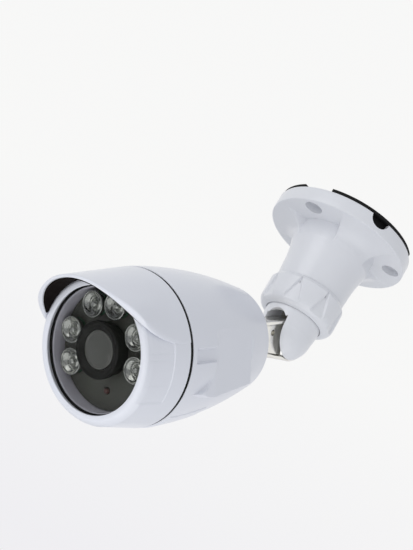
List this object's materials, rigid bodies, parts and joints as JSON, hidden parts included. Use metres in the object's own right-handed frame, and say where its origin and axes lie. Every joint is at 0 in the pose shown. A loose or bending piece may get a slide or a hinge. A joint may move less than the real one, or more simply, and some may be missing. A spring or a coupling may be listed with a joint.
{
  "type": "bullet security camera",
  "caption": "Bullet security camera with infrared lamps behind a round window, a sun visor and an adjustable ceiling bracket.",
  "frame": {"origin": "centre of the bracket's mounting face", "axes": "+Z out of the mounting face into the ceiling; at rest the camera looks towards -Y and down"},
  "size_m": [0.079, 0.1879, 0.1837],
  "materials": {
    "white_shell": "smooth gloss, faintly bluish white paint",
    "black_rubber": "matte black rubber",
    "black_plastic": "satin black plastic",
    "chrome": "bright plating on a die casting",
    "steel": "turned steel",
    "nylon": "natural nylon",
    "window_glass": "clear window with a faint smoke tint",
    "lens_glass": "coated lens glass",
    "grey_sleeve": "painted inner wall seen through the window",
    "dark_mask": "matte olive black",
    "clear_lens": "clear moulded lamp lens",
    "led_chip": "lamp chip",
    "circuit_board": "green solder mask",
    "chip_black": "black moulded resin",
    "sensor_eye": "tinted light sensor"
  },
  "bodies": {
    "base": {"base_stem": "white_shell", "base_gasket": "black_rubber"},
    "ring": {"lock_ring": "white_shell"},
    "knuckle": {"knuckle_dome": "white_shell", "friction_washer": "nylon", "clamp_saddle": "nylon"},
    "arm": {"tilt_arm": "chrome", "pivot_pin": "steel", "swivel_washer": "black_rubber", "tail_nut": "steel", "nut_washer": "steel"},
    "camera": {"rear_housing": "white_shell", "service_lid": "white_shell", "seam_gasket": "black_rubber", "front_cap": "white_shell", "visor_liner": "black_plastic", "glass_seal": "black_rubber", "front_glass": "window_glass", "inner_sleeve": "grey_sleeve", "mask_plate": "dark_mask", "ir_board": "circuit_board", "lens_shroud": "black_plastic", "lens_glass": "lens_glass", "lens_barrel": "black_plastic", "lens_holder": "chip_black", "photocell": "sensor_eye", "led_cup_1": "clear_lens", "led_cup_2": "clear_lens", "led_cup_3": "clear_lens", "led_cup_4": "clear_lens", "led_cup_5": "clear_lens", "led_cup_6": "clear_lens", "led_chip_1": "led_chip", "led_chip_2": "led_chip", "led_chip_3": "led_chip", "led_chip_4": "led_chip", "led_chip_5": "led_chip", "led_chip_6": "led_chip", "image_sensor": "chip_black", "sensor_board": "circuit_board", "main_board": "circuit_board", "front_standoff_1": "steel", "front_standoff_2": "steel", "front_standoff_3": "steel", "front_standoff_4": "steel", "rear_standoff_1": "steel", "rear_standoff_2": "steel", "rear_standoff_3": "steel", "rear_standoff_4": "steel", "processor": "chip_black", "cable_header": "nylon"}
  },
  "joints": [
    {"name": "ring_turn", "type": "hinge", "parent": "base", "child": "ring", "pos_m": [0, 0, -0.05], "axis": [0, 0, 1], "range_deg": [0, 180]},
    {"name": "bracket_swivel", "type": "hinge", "parent": "base", "child": "knuckle", "pos_m": [0, 0, -0.0698], "axis": [0, 0, 1], "range_deg": [-170, 170]},
    {"name": "arm_tilt", "type": "hinge", "parent": "knuckle", "child": "arm", "pos_m": [0, 0, -0.0698], "axis": [1, 0, 0], "range_deg": [-2, 75]},
    {"name": "camera_roll", "type": "hinge", "parent": "arm", "child": "camera", "pos_m": [0, -0.03798, -0.09915], "axis": [0, -0.7912, -0.6115], "range_deg": [-170, 170]}
  ]
}
